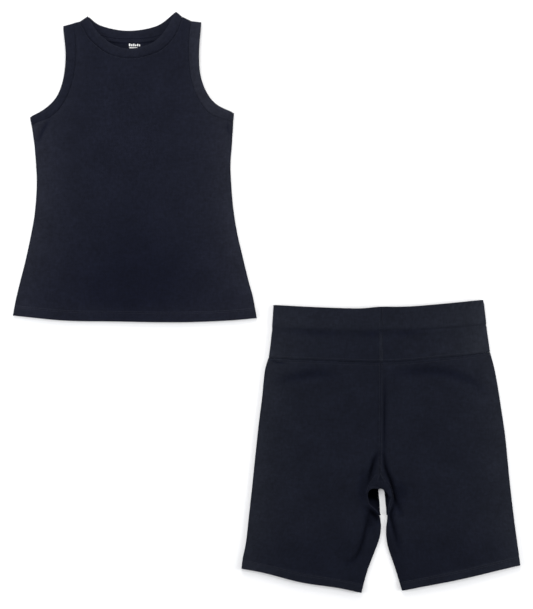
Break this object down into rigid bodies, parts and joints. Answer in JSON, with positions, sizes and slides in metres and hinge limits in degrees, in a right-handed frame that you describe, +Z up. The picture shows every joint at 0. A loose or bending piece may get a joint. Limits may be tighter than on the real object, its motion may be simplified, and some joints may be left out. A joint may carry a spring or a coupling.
{
  "type": "sleeveless tank top and bike shorts set",
  "caption": "Scoop-neck sleeveless tank top with bound neck and armholes, and thigh-length bike shorts with a wide elastic waistband, laid flat side by side.",
  "frame": {"origin": "on the surface that both garments lie on, under the middle of the set's outline seen from above", "axes": "+X to the right of the layout, from the tank towards the shorts; +Y towards the tank's neck and the shorts' waist; +Z up from the surface"},
  "size_m": [0.9136, 1.044, 0.0087],
  "materials": {
    "tank_jersey": "matte dark navy jersey",
    "tank_binding": "matte dark navy folded jersey binding",
    "shorts_jersey": "matte dark navy jersey",
    "waistband_jersey": "matte dark navy double jersey over elastic"
  },
  "bodies": {
    "root": {"tank_front": "tank_jersey", "tank_back": "tank_jersey", "tank_neck_band": "tank_binding", "tank_armhole_band_left": "tank_binding", "tank_armhole_band_right": "tank_binding", "shorts_waistband": "waistband_jersey", "shorts_leg_left": "shorts_jersey", "shorts_leg_right": "shorts_jersey", "shorts_gusset": "shorts_jersey"}
  },
  "joints": []
}
